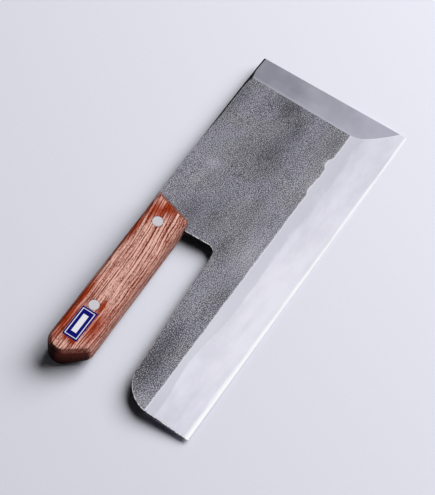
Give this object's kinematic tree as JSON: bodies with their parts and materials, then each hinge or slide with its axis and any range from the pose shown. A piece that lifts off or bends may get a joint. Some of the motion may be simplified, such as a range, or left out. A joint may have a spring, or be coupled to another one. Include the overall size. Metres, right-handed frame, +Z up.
{
  "type": "soba knife",
  "caption": "Broad single-bevel noodle knife with a straight edge running back under a riveted wooden handle, lying bevel side up on a table.",
  "frame": {"origin": "on the table, under the middle of the knife's outline", "axes": "+X from heel to tip along the cutting edge, +Y from the cutting edge towards the spine, +Z up off the table; the blade lies tipped by about 4.2 degrees, on the tip corner of its edge and on the handle"},
  "size_m": [0.241, 0.1012, 0.0197],
  "materials": {
    "forged_iron": "soft iron left with its grey pear-skin forging texture above the ground bevel",
    "ground_steel": "hard edge steel, ground bright along the bevel and flat on the back",
    "red_oak": "open-grained reddish oak, sanded and lightly oiled",
    "rivet_metal": "pale satin cutlery rivet",
    "blue_film": "plain navy label film with blank white fields"
  },
  "bodies": {
    "root": {"blade_body": "forged_iron", "edge_steel": "ground_steel", "bevel_side_scale": "red_oak", "back_side_scale": "red_oak", "front_rivet_solid_half": "rivet_metal", "front_rivet_tube_half": "rivet_metal", "rear_rivet_solid_half": "rivet_metal", "rear_rivet_tube_half": "rivet_metal", "label": "blue_film"}
  },
  "joints": []
}
